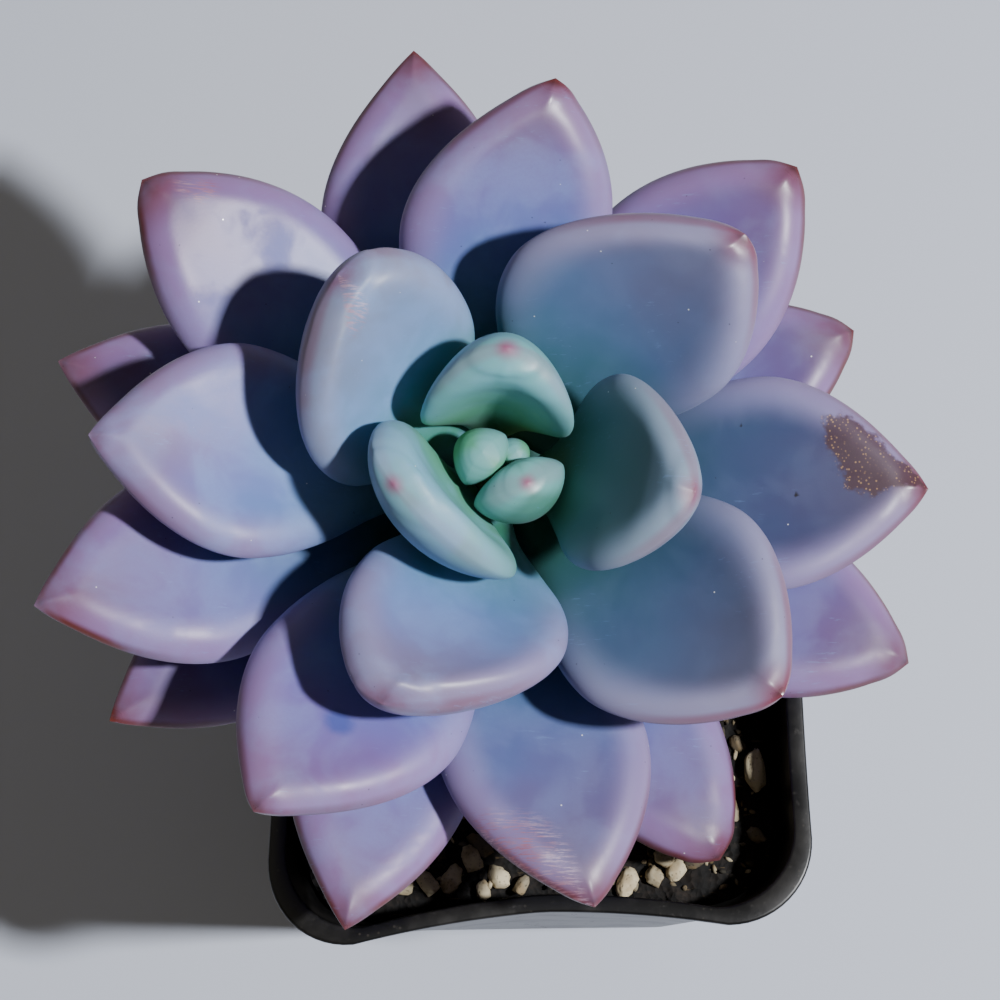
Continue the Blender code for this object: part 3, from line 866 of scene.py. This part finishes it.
def make_leaf_finish():
    finish, place, shader = new_finish("waxy leaf skin")
    wax = use_group(wax_group, place)
    along, upper, margin, inner, to_tip = stored(place, "along", "upper", "margin", "inner", "to_tip")
    green, blush, waxy, tone = stored(place, *Tint._fields)
    scurf, nick, bruise, scuff = stored(place, *MARK_KINDS)
    drift = (cloud(place, 9) - 0.5) * 0.3
    shifted = (along + drift) * between(green, 0.95, 1.35, 1.0, 0.45)
    skin = mix(green, colour_ramp(shifted, OLD_LEAF), colour_ramp(shifted, YOUNG_LEAF))
    old_back = between(upper, -0.15, -0.5, 0.0, 0.7) * (1.0 - green)
    skin = mix(at_least(old_back, 0.0), skin, UNDERSIDE)
    # Painted light and shade: the tone darkens or brightens the face, while rim, the paler and pinker margin band,
    # stays near full brightness, which paints light on the raised margins.
    rim = between(inner, 0.02, MARGIN_SHARE, 0.75, 0.0) * between(along, 0.25, 0.6)
    pale = between(rim * 1.33, 0.0, 1.0, tone, at_least(tone, 0.95))
    painted_light_and_shade = place.add("ShaderNodeCombineColor", "Color", {"Red": pale, "Green": pale, "Blue": pale})
    skin = mix(1.0, skin, painted_light_and_shade, blend="MULTIPLY")
    skin = mix(rim, skin, mix(green, MARGIN_PINK, MARGIN_GREEN))
    near_tip = between(to_tip + drift * (blush * 14.0), 0.0, blush * 5.5 + 0.4, 1.0, 0.0)
    red = mix(green, BRICK, ROSE)
    skin = mix(near_tip * between(blush, 0.0, 0.2, 0.0, 0.85), skin, red)
    skin = mix(between(to_tip, 0.3, 1.5, 0.85, 0.0) * between(blush, 0.4, 0.8), skin, NIB)
    thin_edge = between(margin, 0.15, 0.9, 0.8, 0.0) * between(along, 0.62, 0.9)
    skin = mix(thin_edge * blush, skin, red)
    skin = mix(wax["Patches"] * waxy * 0.35, skin, WAX)
    skin = mix(wax["Scratches"] * 0.18, skin, WAX)
    skin = mix(wax["Specks"] * 0.55, skin, SPECK)
    skin = mix(wax["Glints"] * 0.7, skin, WHITE)
    skin = mix(between(bruise, -0.1, 0.6, 0.0, 0.75), skin, BRUISE)
    patch = scurf + (cloud(place, 2.2, detail=4, roughness=0.6) - 0.5) * 1.1
    flecks = between(cells(place, 0.42), 0.16, 0.34, 0.85, 0.0) * between(patch, 0.4, 0.85, 1.0, 0.1)
    skin = mix(between(patch, 0.1, 0.32, 0.0, 0.85), skin, mix(flecks, SCURF, SCURF_GOLD))
    skin = mix(between(nick, 0.0, 0.3), skin, SPECK)
    rubbed = between(scuff, 0.0, 0.5) * wax["Streaks"]
    skin = mix(rubbed * 0.75, skin, mix(wax["Patches"], SCUFF_ROSE, SCUFF_PALE))
    bare = between(to_tip, 0.6, 4.5, 0.16, 0.0) * between(green, 0.3, 0.9, 1.0, 0.1)
    shine = wax["Glints"] * 0.2 + bare
    set_inputs(shader, {
        "Base Color": skin,
        "Roughness": between(wax["Patches"], 0.0, 1.0, 0.40, 0.58) - shine,
        "Normal": bump(wax["Height"], 0.22, 0.05),
        "Subsurface Weight": 0.12,
        "Subsurface Radius": (0.6, 0.9, 0.5),
        "Subsurface Scale": 1.6 * MM,
        "Sheen Weight": 0.06,
        "Sheen Roughness": 0.5,
        "Sheen Tint": screen(200, 215, 255),
    })
    return finish


leaf_finish = make_leaf_finish()
for number, leaf in enumerate(leaves, start=1):
    settle(leaf, leaf_finish, f"leaf_{number:02d}")
settle(heart, leaf_finish, "heart_bud")
bpy.data.objects.remove(leaf_blank)

# %% [markdown]
# ## The pot
#
# The pot is one long extrusion of one outline. The outline is a square with its corners bevelled. It is extruded
# upwards and widened level by level, turned over the lip, and extruded down again inside to the floor. Thin pots
# like this one are never quite square, so at the end the sides are drawn in at their middles and one corner is
# pulled out, more the higher up they are.

# %% The pot's sizes
POT_TOP = 60.0  # this and the sizes below are in millimetres
POT_FOOT = 45.0
POT_HEIGHT = 57.0
POT_WALL = 1.0
POT_BEVEL = 0.8
BEVEL_SHARES = (0.3, 0.7, 1.0)
CORNER_SHARE = 9.5 / 30
POT_BOWS = (0.4, 0.8, 0.4, 1.7)  # right, back, left and front
CORNER_PULL = (-0.6, -2.4)
LIP_DEPTH = 3.4
LIP_REACH = 1.0
LIP_SHELF = 0.4
LIP_BEVEL = 0.3
WALL_STEPS = 12
CORNER_SEGMENTS = 14
SIDE_CUTS = 22
DRAIN_RADIUS = 3.5
DRAIN_SIDES = 32
DRAIN_OFFSET = 12.5
SMOOTH_UP_TO = 35  # degrees between two faces


def pot_half(z):
    """Half the pot's outer width at that height, without its lip."""
    return (POT_FOOT + (POT_TOP - POT_FOOT) * z / POT_HEIGHT) / 2


def outline_half(x, y):
    """Half the width of the rounded square that runs through a point."""
    x, y = np.abs(x), np.abs(y)
    straight = 1 - CORNER_SHARE
    a = 2 * straight**2 - CORNER_SHARE**2
    b = straight * (x + y)
    round_half = (b - np.sqrt(np.maximum(b * b - a * (x * x + y * y), 0))) / a
    long, short = np.maximum(x, y), np.minimum(x, y)
    return np.where(short > straight * long, round_half, long)


def sag(mesh):
    """Draws the sides in at their middles and the front left corner out, as the solid's are."""
    points = points_of(mesh) / MM
    x, y, z = points.T
    half = np.maximum(outline_half(x, y), 0.001)
    straight = half * (1 - CORNER_SHARE)
    height = z / POT_HEIGHT
    moved = points.copy()
    for axis, other, sign, bow in ((0, 1, 1, 0), (1, 0, 1, 1), (0, 1, -1, 2), (1, 0, -1, 3)):
        ahead, along = sign * points[:, axis], points[:, other]
        on_side = (ahead > np.abs(along)) & (np.abs(along) < straight)
        depth = POT_BOWS[bow] * (1 - (along / straight) ** 2) * height * (ahead / half)
        moved[:, axis] -= np.where(on_side, sign * depth, 0)
    to_corner = np.maximum(-moved[:, 0] / half, 0) * np.maximum(-moved[:, 1] / half, 0) * height
    moved[:, 0] += CORNER_PULL[0] * to_corner
    moved[:, 1] += CORNER_PULL[1] * to_corner
    move_points(mesh, moved * MM)


def rounded_square(half, z):
    """A flat face with rounded corners, its straight sides cut into short edges."""
    deselect()
    bpy.ops.mesh.primitive_plane_add(size=2 * half * MM, location=(0, 0, z * MM))
    square = newest("nursery_pot")
    edit_only(square)
    pick(square, "vert", lambda vert: True)
    bpy.ops.mesh.bevel(offset=CORNER_SHARE * half * MM, segments=CORNER_SEGMENTS, affect="VERTICES")
    pick(square, "edge", lambda edge: edge.calc_length() > half * MM)
    bpy.ops.mesh.subdivide(number_cuts=SIDE_CUTS)
    pick(square, "face", lambda face: True)
    return square


# %% [markdown]
# The list of levels is worked out first, and then the outline climbs through it.

# %% The pot
def pot_levels():
    """Half widths and heights from the foot, up the outside, over the lip and down the inside."""
    lip_foot, lip_middle = POT_HEIGHT - LIP_DEPTH, POT_HEIGHT - LIP_DEPTH / 2
    levels = []
    for share in BEVEL_SHARES:
        turn = share * math.pi / 2
        z = POT_BEVEL * (1 - math.cos(turn))
        levels.append((pot_half(z) - LIP_REACH - POT_BEVEL * (1 - math.sin(turn)), z))
    for step in range(1, WALL_STEPS + 1):
        z = POT_BEVEL + (lip_foot - POT_BEVEL) * step / WALL_STEPS
        levels.append((pot_half(z) - LIP_REACH, z))
    lip_half, inner_half = pot_half(POT_HEIGHT), pot_half(POT_HEIGHT) - LIP_REACH - POT_WALL
    levels.append((pot_half(lip_foot) - LIP_BEVEL, lip_foot + LIP_SHELF * 0.6))
    levels += [(pot_half(lip_foot), lip_foot + LIP_SHELF), (pot_half(lip_middle), lip_middle)]
    arc = [(1 - math.cos(turn), 1 - math.sin(turn)) for turn in map(math.radians, (0, 30, 60, 90))]
    levels += [(lip_half - LIP_BEVEL * inward, POT_HEIGHT - LIP_BEVEL * down) for inward, down in arc]
    levels.append((lip_half - LIP_REACH, POT_HEIGHT))
    levels += [(inner_half + LIP_BEVEL * inward, POT_HEIGHT - LIP_BEVEL * down) for inward, down in reversed(arc)]
    top = POT_HEIGHT - LIP_BEVEL
    for step in range(1, WALL_STEPS + 1):
        z = top + (POT_WALL - top) * step / WALL_STEPS
        levels.append((pot_half(z) - LIP_REACH - POT_WALL, z))
    return levels


def make_pot():
    foot_half = pot_half(0) - LIP_REACH - POT_BEVEL
    pot = rounded_square(foot_half, 0)
    climb(pot_levels(), foot_half, 0)
    sag(pot.data)
    for x, y in ((1, 1), (-1, 1), (-1, -1), (1, -1)):
        bpy.ops.mesh.primitive_cylinder_add(
            vertices=DRAIN_SIDES, radius=DRAIN_RADIUS * MM, depth=4 * POT_WALL * MM,
            location=(x * DRAIN_OFFSET * MM, y * DRAIN_OFFSET * MM, POT_WALL / 2 * MM)
        )
        drill = bpy.context.object
        apply_modifier(pot, "BOOLEAN", operation="DIFFERENCE", object=drill, solver="EXACT")
        bpy.data.objects.remove(drill)
    choose(pot)
    bpy.ops.object.shade_smooth_by_angle(angle=math.radians(SMOOTH_UP_TO))
    print("pot:", len(pot.data.vertices), "points, off its solid by", round(off_by(pot, "pot"), 2), "mm")
    return pot


pot = make_pot()

# %% [markdown]
# The plastic is black with a soft shine. It isn't clean: potting dust clings to it, more so near the lip, and the
# wall carries faint upright scuffs from being stacked. The dust is a group, because the stones on the soil wear it
# too.

# %% The dust group and the pot's plastic
def make_dust_group():
    group, (place, amount) = new_group("potting dust", {"Place": "Vector", "Amount": "Float"}, ("Dust", "Grit"))
    film = between(cloud(place, 6, detail=4, roughness=0.6), 0.42, 0.75)
    specks = between(cells(place, 0.9), 0.10, 0.22, 1.0, 0.0) * between(cloud(place, 4), 0.45, 0.6)
    put_out(group, (film * amount, specks * amount))
    return group


dust_group = make_dust_group()
PLASTIC = screen(6, 6, 7)
DUST = screen(88, 82, 74)
DUST_HEIGHTS = (46 * MM, 57 * MM)  # between these it grows thicker


def make_plastic():
    finish, place, shader = new_finish("black nursery plastic")
    height = place.add("ShaderNodeSeparateXYZ", "Z", {"Vector": place})
    dust = use_group(dust_group, place, Amount=between(height, *DUST_HEIGHTS, 0.2, 0.4))
    scuffs = between(cloud(stretch(place, (8, 8, 0.6)), 9, detail=5, roughness=0.75), 0.58, 0.72)
    skin = mix(scuffs * 0.12, PLASTIC, DUST)
    skin = mix(dust["Dust"] * 0.22, skin, DUST)
    skin = mix(dust["Grit"] * 0.7, skin, DUST)
    rough = dust["Dust"] * 0.3 + scuffs * 0.12 + 0.34
    set_inputs(shader, {"Base Color": skin, "Roughness": rough, "Normal": bump(cloud(place, 0.4), 0.1, 0.06)})
    return finish


settle(pot, make_plastic(), "pot")

# %% [markdown]
# ## The soil
#
# The soil fills the pot to half a finger's breadth under the lip. Its bed is a cube whose top is cut into a fine grid.
# The grid is carried from a square to the pot's rounded square and raised and lowered by layers of noise. On it
# lie pieces of pumice, which are cream or tan, porous and partly sunk in, and nine hundred small bits of grit.

# %% The soil bed
SOIL_TOP = 49.0
SOIL_GAP = 0.5
SOIL_FLOOR = 1.3
SOIL_CUTS = 110
SOIL_LUMPS = ((9.0, 0.9), (3.2, 0.9), (1.3, 0.7), (0.55, 0.28))  # the size of each layer's lumps and its height
SOIL_EDGE_DROP = 0.8


def soil_height(x, y):
    """How far the bed stands over its middle level there, in millimetres."""
    rise = 0.0
    for layer, (size, height) in enumerate(SOIL_LUMPS):
        rise += height * noise.noise(Vector((x / size, y / size, 7.3 * layer)))
    return rise


def make_soil_bed():
    inner = pot_half(SOIL_TOP) - LIP_REACH - POT_WALL - SOIL_GAP
    deselect()
    bpy.ops.mesh.primitive_cube_add(size=2, location=(0, 0, 0))
    bed = newest("soil_bed")
    edit_only(bed)
    pick(bed, "face", lambda face: face.normal.z > 0.9)
    bpy.ops.mesh.subdivide(number_cuts=SOIL_CUTS)
    leave_edit()
    x, y, z = points_of(bed.data).T
    shrink = np.maximum(np.abs(x), np.abs(y)) / np.maximum(outline_half(x, y), 1e-6)
    x, y = x * shrink, y * shrink
    foot = pot_half(SOIL_FLOOR) - LIP_REACH - POT_WALL - SOIL_GAP
    scale = np.where(z > 0, inner, foot)
    x, y = x * scale, y * scale
    rises = np.array([soil_height(*point) for point in zip(x, y)])
    drop = SOIL_EDGE_DROP * np.clip((outline_half(x, y) / inner - 0.9) / 0.1, 0, 1) ** 2
    z = np.where(z > 0, SOIL_TOP + rises - drop, SOIL_FLOOR)
    move_points(bed.data, np.stack([x, y, z], axis=1) * MM)
    sag(bed.data)
    bed.data.shade_smooth()
    print("soil bed:", len(bed.data.vertices), "points")
    return bed


soil_bed = make_soil_bed()

# %% [markdown]
# The stones that the photograph shows are listed one by one. The others, and the grit, are drawn by a seeded dice.

# %% Pumice and grit
Stone = namedtuple("Stone", "x y half_width half_length turn pale")
SEEN_STONES = (
    Stone(24.6, -11.3, 1.25, 2.5, 6, 1.0),
    Stone(21.6, -16.2, 0.9, 1.9, -8, 0.45),
    Stone(24.4, -18.6, 0.8, 1.2, 60, 0.25),
    Stone(22.6, -8.2, 0.9, 1.2, 30, 0.15),
    Stone(15.4, -22.6, 1.1, 1.7, -35, 0.9),
    Stone(12.6, -23.2, 1.0, 1.3, 15, 0.5),
    Stone(9.6, -23.8, 1.1, 2.0, -15, 1.0),
    Stone(13.9, -21.2, 0.9, 1.4, 70, 0.6),
    Stone(-5.0, -23.2, 1.1, 1.6, 40, 0.9),
    Stone(-8.0, -21.2, 1.2, 1.7, 20, 1.0),
    Stone(-10.2, -23.0, 1.2, 2.0, -15, 0.95),
    Stone(-13.0, -23.8, 1.1, 1.8, 35, 0.9),
    Stone(-15.8, -24.2, 1.0, 1.5, 80, 0.8),
    Stone(-6.6, -24.6, 0.8, 1.2, 10, 0.7),
    Stone(-2.4, -24.2, 0.8, 1.3, -30, 0.4),
)
Kind = namedtuple("Kind", "count spacing sizes lengths sunk subdivisions lumps roughness")
PUMICE = Kind(70, 1.9, (0.6, 1.3), (1.1, 1.7), 0.3, 3, 5, 0.35)
GRIT = Kind(900, 0.0, (0.16, 0.42), (1.0, 2.2), 0.25, 1, 6, 0.5)
STEM_PLACE = (-6.5, 13.0)
STEM_CLEARANCE = 6.5
BED_EDGE = 24.6
FLATS = 3  # on each lump, where it broke
FLAT_DISTANCE = (0.7, 0.85)
FLAT_SHARE = 0.85  # of what stands over a flat, pressed down
STONE_HEIGHT = 0.9  # as a share of the half width
STONE_TILT = 18
PALE_POWER = 4  # the higher, the fewer pale ones
SEED = 7


def rounded_stone(kind, dice):
    """A lump: a sphere whose points are pushed in and out, with a flat here and there where it broke."""
    deselect()
    bpy.ops.mesh.primitive_ico_sphere_add(subdivisions=kind.subdivisions, radius=1, location=(0, 0, 0))
    stone = bpy.context.object
    points = points_of(stone.data)
    seed = Vector([dice.uniform(0, 50) for _ in range(3)])
    for i, point in enumerate(points):
        spot = Vector(point)
        bulge = noise.noise(spot * 1.3 + seed) + 0.5 * noise.noise(spot * 3.7 + seed)
        points[i] *= 1 + kind.roughness * bulge
    for _ in range(FLATS):
        normal = np.array([dice.uniform(-1, 1) for _ in range(3)])
        normal /= np.linalg.norm(normal)
        over = np.maximum(points @ normal - dice.uniform(*FLAT_DISTANCE), 0)
        points -= FLAT_SHARE * over[:, None] * normal
    move_points(stone.data, points)
    stone.data.shade_smooth()
    return stone


def place_stone(points, stone, z, tilt):
    """The points of a unit lump at a stone's size, turn and place, in millimetres."""
    sized = points * (stone.half_width, stone.half_length, stone.half_width * STONE_HEIGHT)
    turn = Matrix.Rotation(math.radians(stone.turn), 3, "Z") @ Matrix.Rotation(math.radians(tilt), 3, "X")
    return sized @ np.array(turn).T + (stone.x, stone.y, z)


def scatter(kind, dice, placed):
    """Random stones that keep their distance from those already placed and from the stem."""
    stones = list(placed)
    while len(stones) < kind.count:
        x, y = dice.uniform(-BED_EDGE, BED_EDGE), dice.uniform(-BED_EDGE, BED_EDGE)
        nearest = min((math.hypot(x - other.x, y - other.y) for other in stones), default=kind.spacing)
        if nearest >= kind.spacing and math.hypot(x - STEM_PLACE[0], y - STEM_PLACE[1]) > STEM_CLEARANCE:
            size = dice.uniform(*kind.sizes)
            length, turn = size * dice.uniform(*kind.lengths), dice.uniform(0, 360)
            stones.append(Stone(x, y, size, length, turn, dice.random() ** PALE_POWER))
    return stones


def heap(name, stones, lumps, kind, dice):
    """All stones as one mesh, each a copy of one of the lumps, with how pale it is kept for its points."""
    all_points, all_faces, pale = [], [], []
    for stone in stones:
        points, faces = dice.choice(lumps)
        z = SOIL_TOP + soil_height(stone.x, stone.y) + stone.half_width * (STONE_HEIGHT - 2 * kind.sunk)
        base = len(pale)
        all_points.append(place_stone(points, stone, z, dice.uniform(-STONE_TILT, STONE_TILT)))
        all_faces.extend(tuple(base + corner for corner in face) for face in faces)
        pale.extend([stone.pale] * len(points))
    mesh = bpy.data.meshes.new(name)
    mesh.from_pydata((np.concatenate(all_points) * MM).tolist(), [], all_faces)
    mesh.shade_smooth()
    keep_number(mesh, "pale", pale)
    made = bpy.data.objects.new(name, mesh)
    bpy.context.scene.collection.objects.link(made)
    print(f"{name}: {len(stones)} lumps, {len(mesh.polygons)} faces")
    return made


def make_lumps(kind, dice):
    """The few lumps that all stones of a kind are copied from, as their points and faces."""
    lumps = []
    for _ in range(kind.lumps):
        lump = rounded_stone(kind, dice)
        lumps.append((points_of(lump.data), [tuple(face.vertices) for face in lump.data.polygons]))
        bpy.data.objects.remove(lump)
    return lumps


def make_stones():
    dice = random.Random(SEED)
    stone_lumps, grit_lumps = make_lumps(PUMICE, dice), make_lumps(GRIT, dice)
    stones, grit = scatter(PUMICE, dice, SEEN_STONES), scatter(GRIT, dice, ())
    made = heap("pumice_stones", stones, stone_lumps, PUMICE, dice)
    return made, heap("soil_grit", grit, grit_lumps, GRIT, dice)


pumice_stones, soil_grit = make_stones()

# %% [markdown]
# Damp soil is nearly black, with a few pale fibres. Pumice is cream or tan, full of small pores, which are darkened
# as painted shade, and dusted with soil. The grit is the same stone, but most of it is stained dark.

# %% The finishes of soil and pumice
EARTH_DARK = screen(9, 8, 7)
EARTH_BROWN = screen(40, 31, 24)
PUMICE_PALE = screen(212, 198, 164)
PUMICE_TAN = screen(140, 116, 78)
PUMICE_GREY = screen(58, 50, 42)


def make_earth():
    finish, place, shader = new_finish("dark soil")
    tone = between(cloud(place, 1.6, detail=4, roughness=0.7), 0.4, 0.75) * 0.8
    fibres = between(cloud(stretch(place, (1, 7, 1), (0, 0, 0.7)), 2.2, detail=3), 0.66, 0.72, 0.0, 0.35)
    skin = mix(fibres, mix(tone, EARTH_DARK, EARTH_BROWN), PUMICE_TAN)
    set_inputs(shader, {"Base Color": skin, "Roughness": 0.95, "Normal": bump(cells(place, 0.8), 0.9, 0.4)})
    return finish


def make_pumice(name, darkest):
    """Porous stone, from a dark tone to a pale one by the number that each lump keeps."""
    finish, place, shader = new_finish(name)
    holes = between(cells(place, 0.45), 0.1, 0.36)
    tone = mix(stored(place, "pale")[0], darkest, PUMICE_PALE)
    tone = mix(between(cloud(place, 1.8, detail=3), 0.45, 0.7, 0.0, 0.6), tone, PUMICE_TAN)
    # Painted shade: the pores are darkened towards grey.
    skin = mix((1.0 - holes) * 0.3, tone, PUMICE_GREY)
    skin = mix(use_group(dust_group, place, Amount=0.8)["Grit"] * 0.6, skin, EARTH_DARK)
    set_inputs(shader, {"Base Color": skin, "Roughness": 0.92, "Normal": bump(holes, 0.5, 0.12)})
    return finish


settle(soil_bed, make_earth(), "soil")
settle(pumice_stones, make_pumice("pumice", PUMICE_GREY), "soil")
settle(soil_grit, make_pumice("grit", EARTH_DARK), "soil")

# %% [markdown]
# ## The stem
#
# Under the rosette there is a short bare stem. Where old leaves have dropped off, it carries their scars, low ridges
# that run part of the way round. It is a cylinder that is cut into rings and carried to the solid's centre line.

# %% The stem
STEM_FOOT = Vector((*STEM_PLACE, 33)) * MM
STEM_STRAIGHT = 22.5 * MM
STEM_END = 2.1 * MM
STEM_RINGS = 90
STEM_SIDES = 40
SCAR_STEP = 2.3
SCAR_HEIGHT = 0.16
SCAR_SHARPNESS = 6
SCAR_REACH = 1.5  # how quickly a scar fades in and out round the stem


def stem_line(steps):
    """Points up the stem's middle, as evenly spaced as its bend and its straight part allow."""
    axis = rosette_frame().to_3x3() @ Vector((0, 0, 1))
    neck = APEX - axis * STEM_STRAIGHT
    pull = (neck - STEM_FOOT).length / 2
    bend = interpolate_bezier(STEM_FOOT, STEM_FOOT + Vector((0, 0, pull)), neck - axis * pull, neck, steps // 2)
    rest = steps - len(bend)
    straight = [neck.lerp(APEX - axis * STEM_END, (i + 1) / rest) for i in range(rest)]
    return bend + straight


def make_stem():
    stem = cut_cylinder("scarred_stem", STEM_SIDES, STEM_RINGS - 2, location=(0, 0, 0.5))
    leave_edit()
    line = stem_line(STEM_RINGS)
    points = points_of(stem.data)
    keep_number(stem.data, "up", points[:, 2])
    for i, (x, y, z) in enumerate(points):
        ring = round(z * (STEM_RINGS - 1))
        centre = line[ring]
        ahead = line[min(ring + 1, STEM_RINGS - 1)] - line[max(ring - 1, 0)]
        depth = (APEX - centre).length
        winding = depth / MM / SCAR_STEP + math.atan2(y, x) / (2 * math.pi)
        fading = 0.5 + noise.noise(Vector((x, y, z * 9)) * SCAR_REACH)
        ridge = max(math.cos(2 * math.pi * winding), 0) ** SCAR_SHARPNESS * fading
        radius = stem_radius(depth) + SCAR_HEIGHT * (ridge - 0.7) * MM
        turn = Vector((0, 0, 1)).rotation_difference(ahead)
        points[i] = centre + turn @ (Vector((x, y, 0)) * radius)
    move_points(stem.data, points)
    stem.data.shade_smooth()
    print("stem:", len(stem.data.vertices), "points, off its solid by", round(off_by(stem, "stem"), 2), "mm")
    return stem


BARK_GREEN = screen(84, 112, 58)
BARK_BROWN = screen(112, 88, 60)
BARK_DARK = screen(54, 42, 30)


def make_bark():
    finish, place, shader = new_finish("scarred bark")
    tone = stored(place, "up")[0] + cloud(place, 3, detail=3) * 0.5
    skin = mix(between(tone, 0.8, 1.1), BARK_BROWN, BARK_GREEN)
    cracks = between(cells(place, 1.1, feature="DISTANCE_TO_EDGE"), 0.02, 0.12, 0.7, 0.0)
    skin = mix(cracks, skin, BARK_DARK)
    set_inputs(shader, {"Base Color": skin, "Roughness": 0.8, "Normal": bump(cracks, 0.5, 0.15, invert=True)})
    return finish


settle(make_stem(), make_bark(), "stem")
